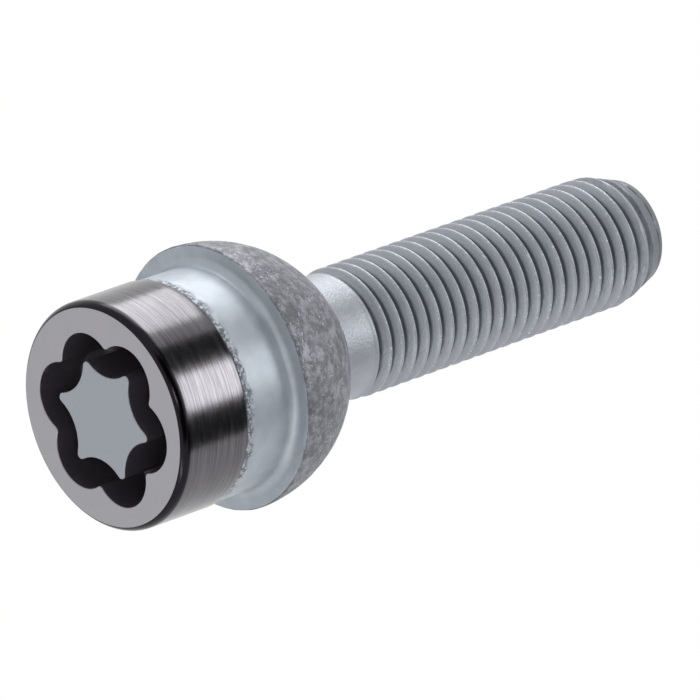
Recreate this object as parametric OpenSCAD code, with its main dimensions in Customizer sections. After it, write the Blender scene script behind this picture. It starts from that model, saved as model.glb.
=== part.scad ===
// Locking wheel bolt with a ball seat, standing on its key face.
// One forged and turned piece of steel: dark plated head, coated collar and
// seat, rolled thread. Millimetres, Z runs from the key face to the thread tip.

/* [Head] */
// Diameter of the plated head
head_d = 20.7; // [19:0.1:24]
// Height of the plated head above its face
head_h = 7.7; // [6:0.1:12]
// How far the rounded front edge reaches up the side of the head
edge_h = 0.9; // [0.7:0.05:1.5]
// How far the rounded front edge reaches in over the face
edge_in = 0.5; // [0.2:0.05:0.6]
// Radius of the rounding at the rear edge of the head
rear_r = 0.25; // [0.1:0.05:0.5]

/* [Key groove] */
// Number of lobes of the key groove
key_lobes = 6; // [5:1:7]
// Width of the key groove where a ridge points into it
key_w = 2.55; // [2:0.05:2.8]
// Depth of the key groove below the face
key_depth = 5; // [2:0.5:7]
// Radius of the lobes of the groove's outer wall
lobe_r = 3.3; // [3.1:0.05:3.6]
// Distance from the axis to the centres of the lobes
lobe_reach = 4.85; // [4.5:0.05:5.2]
// Radius that rounds the ridges between the lobes
ridge_r = 0.4; // [0.3:0.05:1]
// Distance from the axis to the island's tips
island_tip = 5.6; // [5.2:0.05:5.9]
// Radius that rounds the island's tips
tip_round = 0.45; // [0.3:0.05:0.6]
// The lobe that the key's code sets apart, counted from the one on the X axis
code_lobe = 3; // [0:1:4]
// How much nearer the axis that lobe and its tip lie
code_in = 0.5; // [0:0.1:0.8]

/* [Collar and ball seat] */
// Diameter of the coated collar behind the head
collar_d = 20.35; // [17:0.05:21]
// Distance from the key face to the flange face
flange_z = 13.2; // [12:0.1:20]
// Radius of the fillet between the collar and the flange face
fillet_r = 0.8; // [0.3:0.1:1.2]
// Radius of the ball seat
seat_r = 12; // [11.8:0.1:16]
// How far the ball's centre lies on the head side of the flange face
seat_drop = 0.2; // [0:0.1:1]
// Radius of the fillet between the ball seat and the neck
neck_fillet_r = 0.6; // [0.2:0.1:2]

/* [Shank and thread] */
// Diameter of the plain neck between the seat and the thread
neck_d = 11.5; // [9:0.1:13]
// Major diameter of the thread
thread_d = 12; // [10:0.5:14]
// Length of the bolt from the key face to the thread tip
bolt_l = 63; // [50:1:90]
// Length of the thread with its tapered tip
thread_l = 36; // [15:0.2:38]
// Height of the cone that leads from the neck to the thread
run_h = 1.4; // [0.2:0.1:2]
// Length of the tapered tip
tip_l = 3.5; // [1:0.1:6]
// Diameter of the flat end of the tip
tip_d = 9.6; // [7:0.1:9.8]

/* [Hidden] */
$fn = 96;

// A little extra, so that cuts pass their faces and lengths overlap
eps = 0.05;
// How far arcs that touch run into each other, so that no sliver lies between
bite = 0.001;
head_r = head_d / 2;
collar_r = collar_d / 2;
neck_r = neck_d / 2;
thread_r = thread_d / 2;
seat_z = flange_z - seat_drop;
thread_z = bolt_l - thread_l;
tip_z = bolt_l - tip_l;
// Radius of the front edge's arc, which is tangent to the head's side
edge_r = (edge_in * edge_in + edge_h * edge_h) / (2 * edge_in);
key_pitch = 360 / key_lobes;
lobe_centres = around(lobe_reach);
tip_centres = around(island_tip - tip_round);

// The island's hollows are arcs that touch the tips' arcs. Their radius is the
// one at which they stay the groove's width away from the ridges.
ridge_point = lobe_reach * cos(key_pitch / 2)
    + sqrt(pow(lobe_r + ridge_r, 2) - pow(lobe_reach * sin(key_pitch / 2), 2)) - ridge_r;
tip_half = (island_tip - tip_round) * sin(key_pitch / 2);
hollow_in = (island_tip - tip_round) * cos(key_pitch / 2) - (ridge_point - key_w);
hollow_r = (pow(hollow_in, 2) + pow(tip_half, 2) - pow(tip_round, 2)) / (2 * (tip_round + hollow_in));

function polar(r, a) = [r * cos(a), r * sin(a)];

// One point for each lobe, the coded lobe's nearer the axis
function around(reach) = [
    for (k = [0:key_lobes - 1]) polar(reach - (k == code_lobe ? code_in : 0), k * key_pitch)
];

// Centre of an arc that touches the arcs round two points, on the side away
// from the axis, where reach is the sum of the two radii
function bridge(a, b, reach) =
    let (along = b - a, apart = norm(along))
    (a + b) / 2 + [along.y, -along.x] / apart * sqrt(reach * reach - apart * apart / 4);

// Outline of round lobes that run smoothly into the round hollows between them
module lobed_outline(centres, lobe, hollow) {
    last = key_lobes - 1;
    reach = lobe + hollow - bite;
    hollows = [for (k = [0:last]) bridge(centres[k], centres[(k + 1) % key_lobes], reach)];
    difference() {
        union() {
            polygon([for (k = [0:last]) each [centres[k], hollows[k]]]);
            for (c = centres) translate(c) circle(r = lobe);
        }
        for (c = hollows) translate(c) circle(r = hollow);
    }
}

// The groove that the key fits into, with the island that it leaves
module key_groove() {
    translate([0, 0, -eps]) linear_extrude(key_depth + eps) difference() {
        lobed_outline(lobe_centres, lobe_r, ridge_r);
        lobed_outline(tip_centres, tip_round, hollow_r);
    }
}

// Half section of the head, whose front edge is an arc that meets the side
// smoothly and the flat face at a corner, and whose rear edge is rounded
module head_profile() {
    difference() {
        square([head_r, head_h]);
        difference() {
            translate([head_r - edge_in, -eps]) square([edge_in + eps, edge_h + eps]);
            translate([head_r - edge_r, edge_h]) circle(r = edge_r);
        }
        difference() {
            translate([head_r - rear_r, head_h - rear_r]) square(rear_r + eps);
            translate([head_r - rear_r, head_h - rear_r]) circle(r = rear_r);
        }
    }
}

// Half section of the collar, with the fillet into the flange face
module collar_profile() {
    translate([0, head_h - eps]) square([collar_r, flange_z - head_h + 2 * eps]);
    difference() {
        translate([collar_r - eps, flange_z - fillet_r]) square(fillet_r + eps);
        translate([collar_r + fillet_r, flange_z - fillet_r]) circle(r = fillet_r);
    }
}

// Half section of the ball seat, cut flat on the head side, with the fillet
// that leads from it into the neck
module seat_profile() {
    fillet_c = [
        neck_r + neck_fillet_r,
        seat_z + sqrt(pow(seat_r + neck_fillet_r, 2) - pow(neck_r + neck_fillet_r, 2))
    ];
    ball_c = [0, seat_z];
    intersection() {
        translate(ball_c) circle(r = seat_r);
        translate([0, flange_z]) square([seat_r, seat_r]);
    }
    difference() {
        polygon([
            ball_c,
            ball_c + (fillet_c - ball_c) * seat_r / norm(fillet_c - ball_c),
            fillet_c,
            [neck_r, fillet_c.y],
            [0, fillet_c.y]
        ]);
        translate(fillet_c) circle(r = neck_fillet_r);
    }
}

// Half section of the neck and the thread's outer diameter, with the cone
// between them and the tapered tip
module shank_profile() {
    polygon([
        [0, flange_z],
        [neck_r, flange_z],
        [neck_r, thread_z],
        [thread_r, thread_z + run_h],
        [thread_r, tip_z],
        [tip_d / 2, bolt_l],
        [0, bolt_l]
    ]);
}

module turned_blank() {
    rotate_extrude() {
        head_profile();
        collar_profile();
        seat_profile();
        shank_profile();
    }
}

module wheel_bolt() {
    color("darkgray") difference() {
        turned_blank();
        key_groove();
    }
}

wheel_bolt();
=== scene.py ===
"""The looks of a locking wheel bolt with a ball seat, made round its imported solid.

The bolt stands on its key face, with the face's centre at the origin and its axis
along +Z. Sizes are in millimetres, and become metres where a mesh, a lamp or the
camera is made.
"""

import logging
from abc import ABC, abstractmethod
from collections.abc import Iterable, Sequence
from dataclasses import dataclass
from enum import IntEnum
from math import atan2, cos, pi, radians, sin, sqrt, tan, tau

import bmesh
import bpy
import numpy as np
from mathutils import Matrix, Vector, noise


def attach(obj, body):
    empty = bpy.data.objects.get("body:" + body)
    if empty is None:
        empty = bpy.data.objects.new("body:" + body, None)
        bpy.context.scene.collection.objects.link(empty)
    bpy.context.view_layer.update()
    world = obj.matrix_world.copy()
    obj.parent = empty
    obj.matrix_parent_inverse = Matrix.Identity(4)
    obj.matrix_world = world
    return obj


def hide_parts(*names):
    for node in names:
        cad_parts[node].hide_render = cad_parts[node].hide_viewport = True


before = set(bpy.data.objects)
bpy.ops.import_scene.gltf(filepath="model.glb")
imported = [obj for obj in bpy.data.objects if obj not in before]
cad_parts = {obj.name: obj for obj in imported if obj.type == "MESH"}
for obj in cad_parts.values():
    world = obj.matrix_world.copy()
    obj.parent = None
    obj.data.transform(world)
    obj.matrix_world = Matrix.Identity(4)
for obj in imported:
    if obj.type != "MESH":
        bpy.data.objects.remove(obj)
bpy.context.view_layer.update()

MM = 0.001
PER_M = 1000.0
NODE = "wheel_bolt"
BODY = "root"

Colour = tuple[float, float, float]
Point2 = tuple[float, float]
Input = "Value | bpy.types.NodeSocket | float | int | bool | Sequence[float] | bpy.types.Material"

log = logging.getLogger("wheel_bolt")


def rgb(code: str) -> Colour:
    """Turns a colour written as on a screen into linear light.

    Args:
        code: Six hexadecimal digits, two for each of red, green and blue.

    Returns:
        The three linear values, from 0 to 1.
    """
    shown = [int(code[k : k + 2], 16) / 255 for k in (0, 2, 4)]
    return tuple(c / 12.92 if c <= 0.04045 else ((c + 0.055) / 1.055) ** 2.4 for c in shown)


def direction(azimuth: float, elevation: float) -> Vector:
    """Gives the unit vector at an azimuth, counted from +X towards +Y, and an elevation, in degrees."""
    a, e = radians(azimuth), radians(elevation)
    return Vector((cos(a) * cos(e), sin(a) * cos(e), sin(e)))


class Value:
    """A socket of a node tree, on which Python's operators add Math nodes."""

    def __init__(self, nodes: "Nodes", socket: bpy.types.NodeSocket) -> None:
        """Wraps an output socket of the tree that `nodes` builds."""
        self.nodes = nodes
        self.socket = socket

    def math(self, operation: str, *operands: Input, clamp: bool = False) -> "Value":
        """Adds one Math node.

        Args:
            operation: The Math node's operation.
            operands: The node's inputs in order, values or numbers.
            clamp: Whether the result is kept between 0 and 1.

        Returns:
            The node's result.
        """
        settings = {"operation": operation, "use_clamp": clamp}
        return self.nodes.out("ShaderNodeMath", settings, dict(enumerate(operands)))

    def __add__(self, other: Input) -> "Value":
        """Adds."""
        return self.math("ADD", self, other)

    def __radd__(self, other: Input) -> "Value":
        """Adds, with the number in front."""
        return self.math("ADD", other, self)

    def __sub__(self, other: Input) -> "Value":
        """Subtracts."""
        return self.math("SUBTRACT", self, other)

    def __rsub__(self, other: Input) -> "Value":
        """Subtracts from a number."""
        return self.math("SUBTRACT", other, self)

    def __mul__(self, other: Input) -> "Value":
        """Multiplies."""
        return self.math("MULTIPLY", self, other)

    def __rmul__(self, other: Input) -> "Value":
        """Multiplies, with the number in front."""
        return self.math("MULTIPLY", other, self)

    def __truediv__(self, other: Input) -> "Value":
        """Divides."""
        return self.math("DIVIDE", self, other)

    def __rtruediv__(self, other: Input) -> "Value":
        """Divides a number."""
        return self.math("DIVIDE", other, self)

    def __abs__(self) -> "Value":
        """Gives the size without the sign."""
        return self.math("ABSOLUTE", self)

    def limited(self) -> "Value":
        """Keeps the value between 0 and 1."""
        return self.math("ADD", self, 0.0, clamp=True)

    def ramp(self, low: Input, high: Input) -> "Value":
        """Rises smoothly from 0 where the value is `low` to 1 where it is `high`."""
        settings = {"interpolation_type": "SMOOTHSTEP", "clamp": True}
        return self.nodes.out("ShaderNodeMapRange", settings, {0: self, 1: low, 2: high, 3: 0.0, 4: 1.0})

    def between(self, low: float, high: float, soft: float) -> "Value":
        """Is 1 from `low` to `high` and 0 outside, with edges `soft` wide."""
        return self.ramp(low - soft, low + soft) * (1 - self.ramp(high - soft, high + soft))


class Nodes:
    """Adds nodes and links to one node tree."""

    def __init__(self, tree: bpy.types.NodeTree) -> None:
        """Starts on an empty tree."""
        self.tree = tree
        tree.nodes.clear()

    def add(self, kind: str, settings: dict | None = None, inputs: dict | None = None) -> bpy.types.Node:
        """Adds one node.

        Args:
            kind: The node's type, such as ShaderNodeTexNoise.
            settings: The node's own properties, set before its sockets.
            inputs: Values or links, by the socket's name or number.

        Returns:
            The new node.
        """
        node = self.tree.nodes.new(kind)
        for name, setting in (settings or {}).items():
            setattr(node, name, setting)
        for key, given in (inputs or {}).items():
            socket = node.inputs[key]
            if isinstance(given, Value):
                given = given.socket
            if isinstance(given, bpy.types.NodeSocket):
                self.tree.links.new(given, socket)
            else:
                socket.default_value = given
        return node

    def out(self, kind: str, settings: dict | None = None, inputs: dict | None = None, output: int | str = 0) -> Value:
        """Adds one node as `add` does, and returns one of its outputs."""
        return Value(self, self.add(kind, settings, inputs).outputs[output])

    def vector(self, x: Input, y: Input, z: Input) -> Value:
        """Joins three numbers to a vector."""
        return self.out("ShaderNodeCombineXYZ", None, {0: x, 1: y, 2: z})

    def scaled(self, vector: Value, factor: float) -> Value:
        """Multiplies a vector by a number."""
        return self.out("ShaderNodeVectorMath", {"operation": "SCALE"}, {0: vector, "Scale": factor})

    def noise(self, vector: Value, size: float, detail: float = 2.0, sharpness: float = 0.5, distortion: float = 0.0) -> Value:
        """Adds a noise texture.

        Args:
            vector: Where it is read, in mm.
            size: The size of its largest lumps, in mm.
            detail: How many finer layers it has.
            sharpness: How strong the finer layers are, from 0 to 1.
            distortion: How much it is stirred.

        Returns:
            A value around 0.5.
        """
        inputs = {"Vector": vector, "Scale": 1 / size, "Detail": detail, "Roughness": sharpness, "Distortion": distortion}
        return self.out("ShaderNodeTexNoise", {"noise_dimensions": "3D"}, inputs)

    def cells(self, vector: Value, size: float, feature: str = "F1", randomness: float = 1.0) -> Value:
        """Adds a cell texture: the distance to a cell's centre, or to its edge."""
        inputs = {"Vector": vector, "Scale": 1 / size, "Randomness": randomness}
        return self.out("ShaderNodeTexVoronoi", {"feature": feature}, inputs, "Distance")


class Shader(Nodes):
    """The node tree of one material, with the places on the bolt that its patterns need."""

    def __init__(self, name: str) -> None:
        """Makes the material and reads the object's coordinates in mm."""
        self.material = bpy.data.materials.new(name)
        self.material.use_nodes = True
        super().__init__(self.material.node_tree)
        metres = self.out("ShaderNodeTexCoord", None, None, "Object")
        self.place = self.scaled(metres, PER_M)
        axes = self.add("ShaderNodeSeparateXYZ", None, {0: self.place})
        self.x, self.y, self.z = (Value(self, axes.outputs[k]) for k in range(3))
        squared = self.x * self.x + self.y * self.y
        self.radius = squared.math("SQRT", squared)

    def mix(self, factor: Input, low: Input, high: Input) -> Value:
        """Goes from colour `low` to colour `high` as the factor goes from 0 to 1."""
        settings = {"data_type": "RGBA", "clamp_factor": True}
        colours = {6: low, 7: high}
        for key, colour in colours.items():
            if isinstance(colour, tuple):
                colours[key] = (*colour, 1.0)
        return self.out("ShaderNodeMix", settings, {0: factor, **colours}, 2)

    def bumped(self, height: Value, depth: float, normal: Value | None = None) -> Value:
        """Adds a Bump node.

        Args:
            height: The relief, where 1 is `depth` higher than 0.
            depth: The relief's depth, in mm.
            normal: The normal that the relief lies on, if another relief comes first.

        Returns:
            The new normal.
        """
        inputs = {"Strength": 1.0, "Distance": depth * MM, "Height": height}
        if normal is not None:
            inputs["Normal"] = normal
        return self.out("ShaderNodeBump", None, inputs)

    def finish(self, **sockets: Input) -> bpy.types.Material:
        """Ends the tree with a Principled BSDF.

        Args:
            sockets: Its inputs, with an underscore for each space of their names.

        Returns:
            The material.
        """
        inputs = {name.replace("_", " "): given for name, given in sockets.items()}
        surface = self.out("ShaderNodeBsdfPrincipled", None, inputs)
        self.add("ShaderNodeOutputMaterial", None, {"Surface": surface})
        return self.material


class Skin(IntEnum):
    """The finishes of the bolt, which are the material slots of its mesh."""

    FACE = 0
    GROOVE = 1
    PLATING = 2
    COLLAR = 3
    SEAT = 4
    THREAD = 5


class Finish(ABC):
    """A surface finish that can be made a material."""

    @abstractmethod
    def material(self) -> bpy.types.Material:
        """Makes the finish's material."""


@dataclass(frozen=True)
class GroundFace(Finish):
    """Satin ground steel, on the island and on the land round the groove."""

    land: Colour = rgb("A6A4A8")
    island: Colour = rgb("9EA2AA")
    pits: Colour = rgb("7C7A80")
    metallic: float = 0.6
    roughness: float = 0.42

    def material(self) -> bpy.types.Material:
        """Makes the satin metal, a little bluer on the island, with fine pits and soft stains."""
        s = Shader("ground_face")
        grain = s.noise(s.place, 0.35, 4.0, 0.6)
        stains = s.noise(s.place, 3.0, 2.0)
        base = s.mix(s.radius.ramp(5.0, 6.6), self.island, self.land)
        pitted = (grain.ramp(0.62, 0.78) * 0.6).limited()
        base = s.mix(pitted, base, self.pits)
        base = s.mix((stains.ramp(0.35, 0.7) * 0.35).limited(), base, self.island)
        normal = s.bumped(grain, 0.006)
        return s.finish(
            Base_Color=base,
            Metallic=self.metallic,
            Roughness=self.roughness + (grain - 0.5) * 0.2,
            Normal=normal,
        )


@dataclass(frozen=True)
class ShadedBlackGroove(Finish):
    """The black plated walls of the key groove, left as the tool cut them, their colour darkened by painted shade of
    the deep recess.
    """

    # The dark colour is the black plating with painted shade of the deep groove; the lighter colour is painted glints.
    dark: Colour = rgb("403C43")
    mouth_glint: Colour = rgb("6A666E")
    metallic: float = 0.1
    roughness: float = 0.38

    def material(self) -> bpy.types.Material:
        """Makes the black wall with painted shade of the recess in its colour, lumps that catch the light and painted
        glints at its mouth.
        """
        s = Shader("black_groove_painted_shade")
        lumps = s.noise(s.place, 0.9, 3.0, 0.6)
        streaks = s.noise(s.vector(s.x, s.y, s.z * 0.25), 0.3, 2.0)
        # Painted glints: lighter patches near the groove's mouth, fading with depth.
        glint_mask = (lumps.ramp(0.55, 0.75) * (1 - s.z.ramp(0.1, 1.2)) * 0.5).limited()
        normal = s.bumped(lumps * 0.7 + streaks * 0.3, 0.05)
        return s.finish(
            Base_Color=s.mix(glint_mask, self.dark, self.mouth_glint),
            Metallic=self.metallic,
            Roughness=self.roughness + (streaks - 0.5) * 0.3,
            Normal=normal,
        )


@dataclass(frozen=True)
class DarkPlating(Finish):
    """Dark chrome over turned steel, on the side and the rounded front edge of the head."""

    side: Colour = rgb("6C6A6E")
    streak: Colour = rgb("58565A")
    edge: Colour = rgb("242126")
    edge_h: float = 0.9
    metallic: float = 0.95
    roughness: float = 0.2

    def material(self) -> bpy.types.Material:
        """Makes the dark mirror with the turning tool's marks round the head."""
        s = Shader("dark_plating")
        marks = s.noise(s.vector(s.x * 0.02, s.y * 0.02, s.z), 0.16, 3.0, 0.65)
        bands = s.noise(s.vector(s.x * 0.06, s.y * 0.06, s.z), 0.55, 2.0)
        scuffs = s.noise(s.vector(s.x * 0.35, s.y * 0.35, s.z), 0.5, 3.0, 0.6)
        on_side = s.z.ramp(self.edge_h - 0.25, self.edge_h + 0.1)
        base = s.mix(marks.ramp(0.35, 0.65), self.streak, self.side)
        base = s.mix(on_side, self.edge, base)
        relief = (marks * 0.55 + bands * 0.45) * on_side
        normal = s.bumped(relief, 0.006)
        normal = s.bumped(scuffs * on_side, 0.006, normal)
        return s.finish(
            Base_Color=base,
            Metallic=self.metallic,
            Roughness=self.roughness + (scuffs - 0.5) * 0.16 * on_side,
            Normal=normal,
        )


@dataclass(frozen=True)
class FlakeCoating(Finish):
    """Smooth zinc flake coating on the collar and the flange face, gritty where it meets the head."""

    coat: Colour = rgb("B0B7BF")
    shade: Colour = rgb("A6ADB5")
    grit: Colour = rgb("5E626A")
    speck: Colour = rgb("CCD0D8")
    head_h: float = 7.7
    grit_h: float = 0.75
    metallic: float = 0.5
    roughness: float = 0.46

    def material(self) -> bpy.types.Material:
        """Makes the pale blue grey coat with its gritty band."""
        s = Shader("flake_coating")
        fine = s.noise(s.place, 0.16, 3.0, 0.6)
        cloud = s.noise(s.place, 1.8, 3.0, 0.55)
        grains = s.noise(s.place, 0.33, 3.0, 0.65)
        wander = (s.noise(s.place, 1.2, 3.0, 0.6) - 0.5) * 1.6
        gritty = 1 - (s.z + wander).ramp(self.head_h + self.grit_h - 0.4, self.head_h + self.grit_h + 0.2)
        base = s.mix(cloud.ramp(0.3, 0.7), self.shade, self.coat)
        base = s.mix((gritty * grains.ramp(0.56, 0.46) * 0.9).limited(), base, self.grit)
        base = s.mix((gritty * grains.ramp(0.56, 0.68) * 0.9).limited(), base, self.speck)
        relief = fine * 0.25 + grains * gritty
        normal = s.bumped(relief, 0.06)
        return s.finish(
            Base_Color=base,
            Metallic=self.metallic,
            Roughness=self.roughness + gritty * 0.12,
            Normal=normal,
        )


@dataclass(frozen=True)
class SeatCoating(Finish):
    """The ball seat: a rough, darker coat over forged steel, with cracks darkened by painted shade, and bright specks.
    """

    coat: Colour = rgb("92939A")
    # The dark colour serves the random mottle and the painted shade in the cracks.
    dark: Colour = rgb("64656C")
    speck: Colour = rgb("CDCED6")
    metallic: float = 0.45
    roughness: float = 0.5

    def material(self) -> bpy.types.Material:
        """Makes the mottled rough coat, with painted shade in its cracks."""
        s = Shader("seat_coating")
        round_z = s.vector(s.x * 0.6, s.y * 0.6, s.z)
        mottle = s.noise(s.place, 0.9, 4.0, 0.65)
        grains = s.noise(s.place, 0.28, 3.0, 0.65)
        creases = s.noise(round_z, 1.1, 4.0, 0.6, 0.6)
        # Painted shade: the coat's cracks are darkened, for the shade that falls in them.
        crack_shade = 1 - abs(creases - 0.5).ramp(0.0, 0.045)
        base = s.mix(mottle.ramp(0.35, 0.65), self.dark, self.coat)
        base = s.mix((crack_shade * 0.7).limited(), base, self.dark)
        base = s.mix((grains.ramp(0.6, 0.72) * 0.8).limited(), base, self.speck)
        relief = mottle * 0.5 + grains * 0.35 - crack_shade * 0.25
        normal = s.bumped(relief, 0.09)
        return s.finish(
            Base_Color=base,
            Metallic=self.metallic,
            Roughness=self.roughness + (grains - 0.5) * 0.3,
            Normal=normal,
        )


@dataclass(frozen=True)
class ThreadCoating(Finish):
    """Zinc flake coating on the neck and the thread, with painted shade in the thread's roots and bright specks on the
    crests, darker at the tip.
    """

    coat: Colour = rgb("A6AAB1")
    cloud: Colour = rgb("989CA4")
    # The root colour is painted shade: the dark line that falls in each thread root.
    root: Colour = rgb("3C4048")
    speck: Colour = rgb("DCDEE6")
    tip: Colour = rgb("70747B")
    root_r: float = 5.2
    crest_r: float = 5.95
    tip_z: float = 59.0
    end_z: float = 62.0
    metallic: float = 0.5
    roughness: float = 0.42

    def material(self) -> bpy.types.Material:
        """Makes the coat of the neck and the thread, with painted shade darkening the thread's roots."""
        s = Shader("thread_coating")
        grains = s.noise(s.place, 0.22, 3.0, 0.65)
        cloud = s.noise(s.place, 1.5, 3.0, 0.6)
        # Painted shade: darkens the thread below the root radius, fading out at the tip.
        root_shade = 1 - s.radius.ramp(self.root_r, self.root_r + 0.25)
        crest = s.radius.ramp(self.crest_r - 0.12, self.crest_r)
        base = s.mix(cloud.ramp(0.25, 0.75) * 0.5, self.coat, self.cloud)
        base = s.mix((root_shade * (1 - s.z.ramp(self.tip_z, self.end_z)) * 0.9).limited(), base, self.root)
        base = s.mix((crest * grains.ramp(0.55, 0.7)).limited(), base, self.speck)
        at_tip = (s.z + (cloud - 0.5) * 2).ramp(self.tip_z, self.end_z)
        base = s.mix(at_tip, base, self.tip)
        normal = s.bumped(grains + cloud * 0.3, 0.05)
        return s.finish(
            Base_Color=base,
            Metallic=self.metallic,
            Roughness=self.roughness + (grains - 0.5) * 0.3,
            Normal=normal,
        )


SKINS: dict[Skin, Finish] = {
    Skin.FACE: GroundFace(),
    Skin.GROOVE: ShadedBlackGroove(),
    Skin.PLATING: DarkPlating(),
    Skin.COLLAR: FlakeCoating(),
    Skin.SEAT: SeatCoating(),
    Skin.THREAD: ThreadCoating(),
}


@dataclass
class Ring:
    """A closed ring of points on the bolt, and the finish of the band that leads up to it."""

    points: np.ndarray
    skin: Skin


@dataclass(frozen=True)
class Roundness:
    """How finely everything round the axis is divided.

    A ring has as many points as the key groove's outline, so that all of them join.
    """

    lobes: int = 6
    lobe_steps: int = 22
    ridge_steps: int = 8

    @property
    def segments(self) -> int:
        """Gives the number of points in a ring."""
        return self.lobes * (self.lobe_steps + self.ridge_steps)

    @property
    def angles(self) -> np.ndarray:
        """Gives the angle of each point of a round ring, the first lobe's middle at zero."""
        return (np.arange(self.segments) - self.lobe_steps / 2) * (tau / self.segments)

    def circle(self, radius: float, height: float) -> np.ndarray:
        """Gives the points of a round ring, in mm."""
        a = self.angles
        return np.stack([radius * np.cos(a), radius * np.sin(a), np.full(a.shape, height)], 1)


ROUND = Roundness()


def arc(centre: Point2, radius: float, start: float, end: float, steps: int) -> list[Point2]:
    """Gives points along an arc in the half section, where x is the radius and y the height.

    Args:
        centre: The arc's centre.
        radius: Its radius.
        start: The angle of its first point, in degrees.
        end: The angle of its last point, in degrees.
        steps: How many steps it is divided into.

    Returns:
        One point more than there are steps.
    """
    turns = np.radians(np.linspace(start, end, steps + 1))
    return [(centre[0] + radius * cos(t), centre[1] + radius * sin(t)) for t in turns]


def line(start: Point2, end: Point2, steps: int) -> list[Point2]:
    """Gives points along a straight line, both ends included."""
    return [tuple(p) for p in np.linspace(start, end, steps + 1)]


def turned(profile: Iterable[Point2], skin: Skin) -> list[Ring]:
    """Turns each point of a half section into a round ring."""
    return [Ring(ROUND.circle(radius, height), skin) for radius, height in profile]


def lumps(points: np.ndarray, size: float, layers: int = 3, shift: float = 0.0) -> np.ndarray:
    """Reads a fixed noise at points on the bolt.

    Args:
        points: The points, in mm.
        size: The size of the largest lumps, in mm.
        layers: How many layers the noise has, each half the size of the last.
        shift: An offset, in mm, that tells one use from another.

    Returns:
        A value for each point, mostly from -1 to 1.
    """
    offset = Vector((shift, -shift, 2 * shift))
    return np.array([noise.fractal((Vector(p) + offset) / size, 1.0, 2.0, layers) for p in points])


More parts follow.
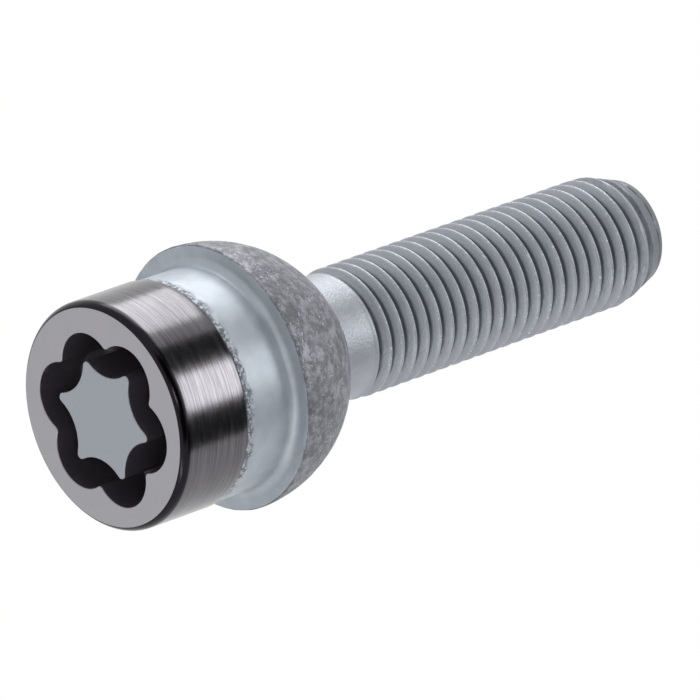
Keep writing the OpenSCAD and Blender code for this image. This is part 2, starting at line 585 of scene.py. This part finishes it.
@dataclass(frozen=True)
class KeyFace:
    """The face with its lobed key groove and the island inside it."""

    lobe_r: float = 3.3
    lobe_reach: float = 4.85
    ridge_r: float = 0.4
    key_w: float = 2.55
    key_depth: float = 5.0
    island_tip: float = 5.6
    tip_round: float = 0.45
    coded_lobe: int = 3
    coded_in: float = 0.5
    bevel: float = 0.12
    floor_r: float = 0.2
    face_r: float = 9.85

    @property
    def hollow_r(self) -> float:
        """Gives the radius of the island's hollows, which stay the groove's width away from the ridges."""
        half = pi / ROUND.lobes
        tip_reach = self.island_tip - self.tip_round
        ridge_reach = sqrt((self.lobe_r + self.ridge_r) ** 2 - (self.lobe_reach * sin(half)) ** 2)
        ridge_point = self.lobe_reach * cos(half) + ridge_reach - self.ridge_r
        hollow_in = tip_reach * cos(half) - (ridge_point - self.key_w)
        across = (tip_reach * sin(half)) ** 2 - self.tip_round**2
        return (hollow_in**2 + across) / (2 * (self.tip_round + hollow_in))

    def lobed(self, reach: float, lobe: float, hollow: float, growth: float, height: float) -> np.ndarray:
        """Gives a ring of round lobes that run smoothly into the round hollows between them.

        Args:
            reach: How far the lobes' centres lie from the axis, apart from the coded one's.
            lobe: The radius of the lobes' arcs.
            hollow: The radius of the hollows' arcs.
            growth: How far the ring lies outside the outline that these sizes give.
            height: The ring's height.

        Returns:
            The ring's points, in mm.
        """
        reaches = np.full(ROUND.lobes, reach)
        reaches[self.coded_lobe] -= self.coded_in
        turns = np.arange(ROUND.lobes) * (tau / ROUND.lobes)
        lobes = np.stack([reaches * np.cos(turns), reaches * np.sin(turns)], 1)
        following = np.roll(lobes, -1, axis=0)
        along = following - lobes
        apart = np.linalg.norm(along, axis=1, keepdims=True)
        outward = np.stack([along[:, 1], -along[:, 0]], 1) / apart
        hollows = (lobes + following) / 2 + outward * np.sqrt((lobe + hollow) ** 2 - apart**2 / 4)
        points = []
        for k in range(ROUND.lobes):
            points += self.sweep(lobes[k], hollows[k - 1], hollows[k], lobe + growth, ROUND.lobe_steps, 1)
            points += self.sweep(hollows[k], lobes[k], following[k], hollow - growth, ROUND.ridge_steps, -1)
        return np.column_stack([points, np.full(len(points), height)])

    def wall(self, growth: float, height: float) -> np.ndarray:
        """Gives a ring along the groove's outer wall, moved outwards by `growth`."""
        return self.lobed(self.lobe_reach, self.lobe_r, self.ridge_r, growth, height)

    def island(self, growth: float, height: float) -> np.ndarray:
        """Gives a ring along the island's wall, moved outwards by `growth`."""
        return self.lobed(self.island_tip - self.tip_round, self.tip_round, self.hollow_r, growth, height)

    @staticmethod
    def sweep(centre: np.ndarray, start: np.ndarray, end: np.ndarray, radius: float, steps: int, side: int) -> list:
        """Gives points round a centre, from the direction of one point to that of another.

        Args:
            centre: The arc's centre.
            start: A point in the direction where the arc starts.
            end: A point in the direction where it ends, which is left out.
            radius: The arc's radius.
            steps: How many points it gets.
            side: 1 to turn counterclockwise, and -1 to turn clockwise.

        Returns:
            The points.
        """
        first = atan2(*(start - centre)[::-1])
        last = atan2(*(end - centre)[::-1])
        turn = ((last - first) * side) % tau * side
        bends = first + turn * np.arange(steps) / steps
        return [centre + radius * np.array([cos(b), sin(b)]) for b in bends]

    def rings(self) -> list[Ring]:
        """Gives the rings from the island's middle, down and up the groove, to the face's rim."""
        levels = (0.5, 1.2, 2.4, 3.8, self.key_depth - self.floor_r)
        top = self.island(-self.bevel, 0.0)
        made = [Ring(top * share, Skin.FACE) for share in (0.12, 0.4, 0.7, 0.94, 1.0)]
        rounding = [(self.bevel * (1 - sin(radians(t))), self.bevel * (1 - cos(radians(t)))) for t in (30, 60, 90)]
        made += [Ring(self.island(-inset, drop), Skin.FACE) for inset, drop in rounding]
        made += [Ring(self.island(0, height), Skin.GROOVE) for height in levels]
        made += [Ring(self.island(self.floor_r, self.key_depth), Skin.GROOVE)]
        made += [Ring(self.wall(-self.floor_r, self.key_depth), Skin.GROOVE)]
        made += [Ring(self.wall(0, height), Skin.GROOVE) for height in reversed(levels)]
        made += [Ring(self.wall(0, self.bevel), Skin.GROOVE)]
        made += [Ring(self.wall(inset, drop), Skin.FACE) for inset, drop in reversed(rounding[:2])]
        mouth = self.wall(self.bevel, 0.0)
        rim = ROUND.circle(self.face_r - self.bevel, 0.0)
        made += [Ring(mouth + (rim - mouth) * share, Skin.FACE) for share in (0.0, 0.08, 0.5, 0.92, 1.0)]
        return made


@dataclass(frozen=True)
class PlatedHead:
    """The rounded front edge and the turned side of the head."""

    head_r: float = 10.35
    head_h: float = 7.7
    edge_h: float = 0.9
    edge_in: float = 0.5
    rear_r: float = 0.25
    bevel: float = 0.12

    def rings(self) -> list[Ring]:
        """Gives the rings from the face's rim to the head's rear edge."""
        edge_r = (self.edge_in**2 + self.edge_h**2) / (2 * self.edge_in)
        start = -90 + np.degrees(np.arccos((self.edge_h) / edge_r))
        edge = arc((self.head_r - edge_r, self.edge_h), edge_r, start, 0, 10)
        made = turned([(self.head_r - self.edge_in, 0.03)], Skin.FACE)
        made += turned(edge[1:], Skin.PLATING)
        made += turned(line((self.head_r, self.edge_h), (self.head_r, self.head_h - self.rear_r), 12)[1:], Skin.PLATING)
        rear = arc((self.head_r - self.rear_r, self.head_h - self.rear_r), self.rear_r, 0, 80, 4)
        made += turned(rear[1:], Skin.PLATING)
        return made


@dataclass(frozen=True)
class CoatedSeat:
    """The collar, the fillet, the flange face, the ball seat and the start of the neck."""

    head_h: float = 7.7
    collar_r: float = 10.175
    flange_z: float = 13.2
    fillet_r: float = 0.8
    seat_r: float = 12.0
    ball_z: float = 13.0
    rim_r: float = 0.12
    neck_r: float = 5.75
    neck_fillet_r: float = 0.6
    neck_end: float = 25.0

    def rough(self, ring: np.ndarray, along: Vector, depth: float, size: float, layers: int = 3) -> np.ndarray:
        """Moves a ring's points in and out by a noise.

        Args:
            ring: The ring's points.
            along: The way out of the surface, as its radial part and its part along the axis.
            depth: How far the noise moves a point, in mm.
            size: The size of the lumps, in mm.
            layers: How many layers the noise has.

        Returns:
            The moved points.
        """
        amount = lumps(ring, size, layers) * depth
        flat = np.hypot(ring[:, 0], ring[:, 1])
        radial = ring[:, :2] / flat[:, None]
        moved = ring.copy()
        moved[:, :2] += radial * (amount * along[0])[:, None]
        moved[:, 2] += amount * along[1]
        return moved

    def collar(self) -> list[Ring]:
        """Gives the collar's rings, with the thick uneven edge of the coat behind the head."""
        made = turned([(self.collar_r - 0.06, self.head_h + 0.02)], Skin.COLLAR)
        for height in np.arange(self.head_h + 0.1, self.head_h + 1.4, 0.1):
            ring = ROUND.circle(self.collar_r, height)
            fade = 1 - min(1.0, max(0.0, (height - self.head_h - 0.7) / 0.6))
            made.append(Ring(self.rough(ring, (1, 0), 0.07 * fade, 0.7), Skin.COLLAR))
        fillet_z = self.flange_z - self.fillet_r
        plain = line((self.collar_r, self.head_h + 1.5), (self.collar_r, fillet_z), 6)
        fillet = arc((self.collar_r + self.fillet_r, fillet_z), self.fillet_r, 180, 90, 10)
        return made + turned(plain + fillet[1:], Skin.COLLAR)

    def flange_face(self) -> list[Ring]:
        """Gives the rings of the flat flange face, up to its uneven rim."""
        made = []
        inner = self.collar_r + self.fillet_r
        outer = self.seat_r - self.rim_r
        for radius in np.linspace(inner, outer, 9)[1:]:
            ring = ROUND.circle(radius, self.flange_z)
            depth = 0.05 * min(1.0, max(0.0, (radius - inner - 0.3) / 0.4))
            made.append(Ring(self.rough(ring, (0, -1), depth, 0.7), Skin.COLLAR))
        return made

    def seat(self) -> list[Ring]:
        """Gives the rings of the ball seat and the fillet that leads to the neck."""
        fillet_x = self.neck_r + self.neck_fillet_r
        reach = self.seat_r + self.neck_fillet_r
        fillet_z = self.ball_z + sqrt(reach**2 - fillet_x**2)
        first = np.degrees(np.arcsin((self.flange_z + self.rim_r - self.ball_z) / self.seat_r))
        last = np.degrees(np.arctan2(fillet_z - self.ball_z, fillet_x))
        made = []
        for turn in np.linspace(first, last, 54):
            out = (cos(radians(turn)), sin(radians(turn)))
            ring = ROUND.circle(self.seat_r * out[0], self.ball_z + self.seat_r * out[1])
            ring = self.rough(ring, out, 0.045, 0.9, 3)
            made.append(Ring(ring - self.proud(ring), Skin.SEAT))
        fillet = arc((fillet_x, fillet_z), self.neck_fillet_r, 180 + last, 180, 5)
        made += turned(fillet[1:], Skin.SEAT)
        made += turned(line((self.neck_r, fillet_z), (self.neck_r, self.neck_end), 3)[1:], Skin.THREAD)
        return made

    def proud(self, ring: np.ndarray) -> np.ndarray:
        """Gives how far each point stands outside the ball, so that the seat stays within it."""
        off = ring - np.array([0, 0, self.ball_z])
        reach = np.linalg.norm(off, axis=1, keepdims=True)
        return off * np.maximum(0, 1 - self.seat_r / reach)

    def rings(self) -> list[Ring]:
        """Gives all the rings from the head to the neck."""
        return self.collar() + self.flange_face() + self.seat()


@dataclass(frozen=True)
class RolledThread:
    """The M12x1.5 thread with its run-in and its tapered tip, as a height field round the axis."""

    pitch: float = 1.5
    major_r: float = 5.985
    minor_r: float = 5.08
    neck_r: float = 5.75
    start_z: float = 25.0
    end_z: float = 63.0
    run_start: float = 26.7
    run_end: float = 28.3
    tip_z: float = 59.5
    tip_r: float = 4.8
    tip_depth: float = 0.25
    plain_end: float = 0.4
    crest_z: float = 0.53
    flank_angle: float = 60.0
    crest_round: float = 0.16
    root_round: float = 0.2
    rough: float = 0.02
    rows: int = 350

    def sizes(self) -> dict[str, float]:
        """Gives the tree's named inputs and what they are set to."""
        return {
            "Pitch": self.pitch,
            "Major Radius": self.major_r,
            "Minor Radius": self.minor_r,
            "Neck Radius": self.neck_r,
            "Start": self.start_z,
            "End": self.end_z,
            "Run-in Start": self.run_start,
            "Run-in End": self.run_end,
            "Tip Start": self.tip_z,
            "Tip Radius": self.tip_r,
            "Tip Depth": self.tip_depth,
            "Plain End": self.plain_end,
            "Crest Height": self.crest_z,
            "Flank Slope": tan(radians(self.flank_angle)),
            "Crest Rounding": self.crest_round,
            "Root Rounding": self.root_round,
            "Roughness": self.rough,
        }

    def tree(self) -> bpy.types.NodeTree:
        """Builds the Geometry Nodes tree that bends an open tube into the thread."""
        group = bpy.data.node_groups.new("rolled_thread", "GeometryNodeTree")
        n = Nodes(group)
        for name in self.sizes():
            group.interface.new_socket(name, in_out="INPUT", socket_type="NodeSocketFloat")
        group.interface.new_socket("Material", in_out="INPUT", socket_type="NodeSocketMaterial")
        group.interface.new_socket("Geometry", in_out="OUTPUT", socket_type="NodeSocketGeometry")
        given = n.add("NodeGroupInput")
        size = {name: Value(n, given.outputs[name]) for name in self.sizes()}
        start, end, pitch = size["Start"], size["End"], size["Pitch"]
        counts = {"Vertices": ROUND.segments, "Side Segments": self.rows, "Radius": 1.0, "Depth": end - start}
        tube = n.out("GeometryNodeMeshCylinder", {"fill_type": "NONE"}, counts, "Mesh")
        axes = n.add("ShaderNodeSeparateXYZ", None, {0: n.out("GeometryNodeInputPosition")})
        x, y, z = (Value(n, axes.outputs[k]) for k in range(3))
        height = z + (start + end) / 2
        turn = y.math("ARCTAN2", y, x)
        phase = (height - size["Crest Height"]) / pitch - turn / tau
        from_crest = abs(phase - phase.math("ROUND", phase)) * pitch
        major, minor = size["Major Radius"], size["Minor Radius"]
        along_tip = (height - size["Tip Start"]) / (end - size["Tip Start"])
        cone = major - along_tip * (major - size["Tip Radius"])
        root = minor.math("MINIMUM", minor, cone - size["Tip Depth"])
        flank = major - (from_crest - pitch / 16) * size["Flank Slope"]
        cut = flank.math("SMOOTH_MAX", flank, root, size["Root Rounding"])
        cut = cut.math("SMOOTH_MIN", cut, major, size["Crest Rounding"])
        run_in = height.ramp(size["Run-in Start"], size["Run-in End"])
        neck = size["Neck Radius"]
        shank = neck + run_in * (cut - neck)
        shank = shank.math("SMOOTH_MIN", shank, cone, 0.12)
        shank = shank + (cone - shank) * height.ramp(end - size["Plain End"], end)
        place = n.vector(x * shank, y * shank, height)
        uneven = n.noise(place, 0.8, 3.0, 0.6) - 0.5
        ends = (height - start).ramp(0.0, 1.0) * (end - height).ramp(0.0, 0.3)
        reach = (shank + uneven * size["Roughness"] * 2 * ends) * MM
        moved = n.vector(x * reach, y * reach, height * MM)
        shaped = n.out("GeometryNodeSetPosition", None, {"Geometry": tube, "Position": moved})
        real = n.out("GeometryNodeRealizeInstances", None, {0: shaped})
        inputs = {"Geometry": real, "Material": given.outputs["Material"]}
        dressed = n.out("GeometryNodeSetMaterial", None, inputs)
        n.add("NodeGroupOutput", None, {0: dressed})
        return group

    def mesh(self, material: bpy.types.Material) -> bpy.types.Mesh:
        """Runs the tree and returns its result as a plain mesh.

        Args:
            material: The finish of the thread.

        Returns:
            An open tube from the neck to the end of the tip.
        """
        group = self.tree()
        holder = bpy.data.objects.new("thread_source", bpy.data.meshes.new("thread_source"))
        bpy.context.scene.collection.objects.link(holder)
        modifier = holder.modifiers.new("rolled_thread", "NODES")
        modifier.node_group = group
        for item in group.interface.items_tree:
            if item.item_type == "SOCKET" and item.in_out == "INPUT":
                modifier[item.identifier] = self.sizes().get(item.name, material)
        graph = bpy.context.evaluated_depsgraph_get()
        made = bpy.data.meshes.new_from_object(holder.evaluated_get(graph))
        holder.modifiers.remove(modifier)
        bpy.data.objects.remove(holder)
        return made

    def end_rings(self) -> list[Ring]:
        """Gives the rings of the flat end, from the tube's last ring to near the axis."""
        return turned([(self.tip_r * share, self.end_z) for share in (1.0, 0.97, 0.6, 0.1)], Skin.THREAD)


@dataclass(frozen=True)
class WheelBolt:
    """The whole bolt: one piece of steel, and so one closed mesh."""

    face: KeyFace = KeyFace()
    head: PlatedHead = PlatedHead()
    seat: CoatedSeat = CoatedSeat()
    thread: RolledThread = RolledThread()
    seam: float = 0.002

    @staticmethod
    def add_rings(mesh: bmesh.types.BMesh, rings: Sequence[Ring], start_pole: bool, end_pole: bool) -> None:
        """Adds a closed band between each ring and the next.

        Args:
            mesh: The mesh that the bands are added to.
            rings: The rings, in order along the surface.
            start_pole: Whether the first ring is closed to a point.
            end_pole: Whether the last ring is closed to a point.
        """
        count = ROUND.segments
        rows = [[mesh.verts.new(Vector(p) * MM) for p in ring.points] for ring in rings]
        for k in range(1, len(rows)):
            for i in range(count):
                j = (i + 1) % count
                face = mesh.faces.new((rows[k - 1][i], rows[k - 1][j], rows[k][j], rows[k][i]))
                face.material_index = int(rings[k].skin)
        for wanted, row, ring, order in ((start_pole, rows[0], rings[0], 1), (end_pole, rows[-1], rings[-1], -1)):
            if not wanted:
                continue
            pole = mesh.verts.new(Vector(ring.points.mean(axis=0)) * MM)
            for i in range(count):
                pair = (row[i], row[(i + 1) % count])[::-order]
                face = mesh.faces.new((pole, *pair))
                face.material_index = int(ring.skin)

    def build(self) -> bpy.types.Object:
        """Makes the bolt's object from its rings and its thread."""
        materials = {skin: finish.material() for skin, finish in SKINS.items()}
        shank = self.thread.mesh(materials[Skin.THREAD])
        mesh = bmesh.new()
        mesh.from_mesh(shank)
        for face in mesh.faces:
            face.material_index = int(Skin.THREAD)
        rings = self.face.rings() + self.head.rings() + self.seat.rings()
        self.add_rings(mesh, rings, True, False)
        self.add_rings(mesh, self.thread.end_rings(), False, True)
        open_verts = [v for v in mesh.verts if v.is_boundary]
        bmesh.ops.remove_doubles(mesh, verts=open_verts, dist=self.seam * MM)
        left = sum(e.is_boundary for e in mesh.edges)
        data = bpy.data.meshes.new("locking_bolt")
        for face in mesh.faces:
            face.smooth = True
        mesh.to_mesh(data)
        mesh.free()
        for skin in Skin:
            data.materials.append(materials[skin])
        data.set_sharp_from_angle(angle=radians(48))
        bolt = bpy.data.objects.new("locking_bolt", data)
        bpy.context.scene.collection.objects.link(bolt)
        log.info("locking_bolt: %d faces, %d open edges", len(data.polygons), left)
        return bolt


@dataclass(frozen=True)
class SoftBox:
    """A rectangular lamp that faces the bolt."""

    name: str
    azimuth: float
    elevation: float
    distance: float
    width: float
    height: float
    power: float

    def build(self, target: Vector) -> None:
        """Makes the lamp, turned towards the target."""
        data = bpy.data.lights.new(self.name, "AREA")
        data.shape, data.size, data.size_y, data.energy = "RECTANGLE", self.width, self.height, self.power
        lamp = bpy.data.objects.new(self.name, data)
        lamp.matrix_world = facing(target + direction(self.azimuth, self.elevation) * self.distance, target)
        bpy.context.scene.collection.objects.link(lamp)


def facing(place: Vector, target: Vector) -> Matrix:
    """Gives the matrix of something at a place that looks down its -Z at a target, its Y upwards."""
    turn = (target - place).to_track_quat("-Z", "Y")
    return Matrix.Translation(place) @ turn.to_matrix().to_4x4()


@dataclass(frozen=True)
class Card:
    """A black card that only reflections show."""

    name: str
    azimuth: float
    elevation: float
    distance: float
    width: float
    height: float
    shade: Colour = (0.0, 0.0, 0.0)

    def build(self, target: Vector) -> None:
        """Makes the card, turned towards the target."""
        half_w, half_h = self.width / 2, self.height / 2
        corners = [(-half_w, -half_h, 0), (half_w, -half_h, 0), (half_w, half_h, 0), (-half_w, half_h, 0)]
        data = bpy.data.meshes.new(self.name)
        data.from_pydata(corners, [], [(0, 1, 2, 3)])
        place = target + direction(self.azimuth, self.elevation) * self.distance
        data.transform(facing(place, target))
        material = bpy.data.materials.new(self.name)
        material.use_nodes = True
        nodes = Nodes(material.node_tree)
        glow = nodes.out("ShaderNodeEmission", None, {"Color": (*self.shade, 1.0)})
        nodes.add("ShaderNodeOutputMaterial", None, {"Surface": glow})
        data.materials.append(material)
        card = bpy.data.objects.new(self.name, data)
        card.visible_camera = card.visible_diffuse = card.visible_transmission = False
        card.visible_shadow = card.visible_volume_scatter = False
        bpy.context.scene.collection.objects.link(card)


@dataclass(frozen=True)
class Studio:
    """The camera, the white surroundings, the floor and the lamps."""

    camera_place: Vector = Vector((-0.049367, -0.973748, -0.771235))
    camera_ahead: Vector = Vector((0.040463, 0.772075, 0.634242))
    camera_up: Vector = Vector((-0.951653, -0.163664, 0.259944))
    lens: float = 739.76
    target: Vector = Vector((0.0, 0.0, 0.02))
    fill: float = 0.6
    floor_colour: Colour = (0.88, 0.88, 0.89)
    floor_r: float = 1.2
    boxes: tuple[SoftBox, ...] = (
        SoftBox("key_top", 178, 24, 0.9, 0.7, 0.6, 5.0),
        SoftBox("side_band", -88, 40, 0.7, 0.34, 0.2, 1.1),
        SoftBox("front_glint", -88.5, -35, 0.8, 0.15, 0.08, 0.6),
        SoftBox("low_glint", -14, -38, 0.7, 0.06, 0.3, 0.5),
    )
    cards: tuple[Card, ...] = (
        Card("card_left", -124, 32, 0.85, 0.34, 0.8),
        Card("card_right", -50, 32, 0.85, 0.42, 0.8),
        Card("card_below", -88, -20, 0.95, 1.6, 0.9),
    )

    def camera(self) -> None:
        """Makes the camera at the photograph's angle."""
        data = bpy.data.cameras.new("camera")
        data.lens, data.sensor_width, data.clip_start, data.clip_end = self.lens, 36.0, 0.01, 50.0
        ahead = self.camera_ahead.normalized()
        right = ahead.cross(self.camera_up).normalized()
        up = right.cross(ahead)
        turn = Matrix((right, up, -ahead)).transposed().to_4x4()
        camera = bpy.data.objects.new("camera", data)
        camera.matrix_world = Matrix.Translation(self.camera_place) @ turn
        bpy.context.scene.collection.objects.link(camera)
        bpy.context.scene.camera = camera

    def world(self) -> None:
        """Makes the white surroundings, which light the bolt less than they show."""
        world = bpy.data.worlds.new("studio")
        world.use_nodes = True
        bpy.context.scene.world = world
        nodes = Nodes(world.node_tree)
        path = nodes.add("ShaderNodeLightPath")
        seen = Value(nodes, path.outputs["Is Camera Ray"]) + path.outputs["Is Glossy Ray"]
        seen = (seen + path.outputs["Is Transmission Ray"]).limited()
        strength = self.fill + seen * (1 - self.fill)
        glow = nodes.out("ShaderNodeBackground", None, {"Color": (1, 1, 1, 1), "Strength": strength})
        nodes.add("ShaderNodeOutputWorld", None, {"Surface": glow})

    def floor(self) -> None:
        """Makes the pale floor, which shows from above only and fades into the white."""
        mesh = bmesh.new()
        bmesh.ops.create_circle(mesh, cap_ends=True, segments=96, radius=self.floor_r)
        data = bpy.data.meshes.new("floor")
        bmesh.ops.translate(mesh, verts=mesh.verts, vec=(0, 0, -0.01 * MM))
        mesh.to_mesh(data)
        mesh.free()
        material = bpy.data.materials.new("pale_floor")
        material.use_nodes = True
        nodes = Nodes(material.node_tree)
        path = nodes.add("ShaderNodeLightPath")
        side = nodes.add("ShaderNodeNewGeometry")
        place = nodes.out("ShaderNodeTexCoord", None, None, "Object")
        reach = nodes.out("ShaderNodeVectorMath", {"operation": "LENGTH"}, {0: place}, "Value")
        near = 1 - reach.ramp(0.06, 0.45)
        shown = near * path.outputs["Is Camera Ray"] * (1 - Value(nodes, side.outputs["Backfacing"]))
        pale = nodes.out("ShaderNodeBsdfDiffuse", None, {"Color": (*self.floor_colour, 1.0)})
        clear = nodes.out("ShaderNodeBsdfTransparent")
        both = nodes.out("ShaderNodeMixShader", None, {0: shown, 1: clear, 2: pale})
        nodes.add("ShaderNodeOutputMaterial", None, {"Surface": both})
        data.materials.append(material)
        floor = bpy.data.objects.new("floor", data)
        bpy.context.scene.collection.objects.link(floor)

    def build(self) -> None:
        """Makes the whole studio."""
        scene = bpy.context.scene
        scene.view_settings.view_transform = "Standard"
        self.camera()
        self.world()
        self.floor()
        for piece in (*self.boxes, *self.cards):
            piece.build(self.target)
        log.info("studio: %d lamps, %d cards", len(self.boxes), len(self.cards))


def main() -> None:
    """Builds the studio and the bolt, and ties the bolt to its body."""
    logging.basicConfig(level=logging.INFO, format="%(name)s: %(message)s")
    Studio().build()
    bolt = WheelBolt().build()
    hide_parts(NODE)
    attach(bolt, BODY)
    log.info("%s rides on %s and stands for %s", bolt.name, BODY, NODE)


if __name__ == "__main__":
    main()
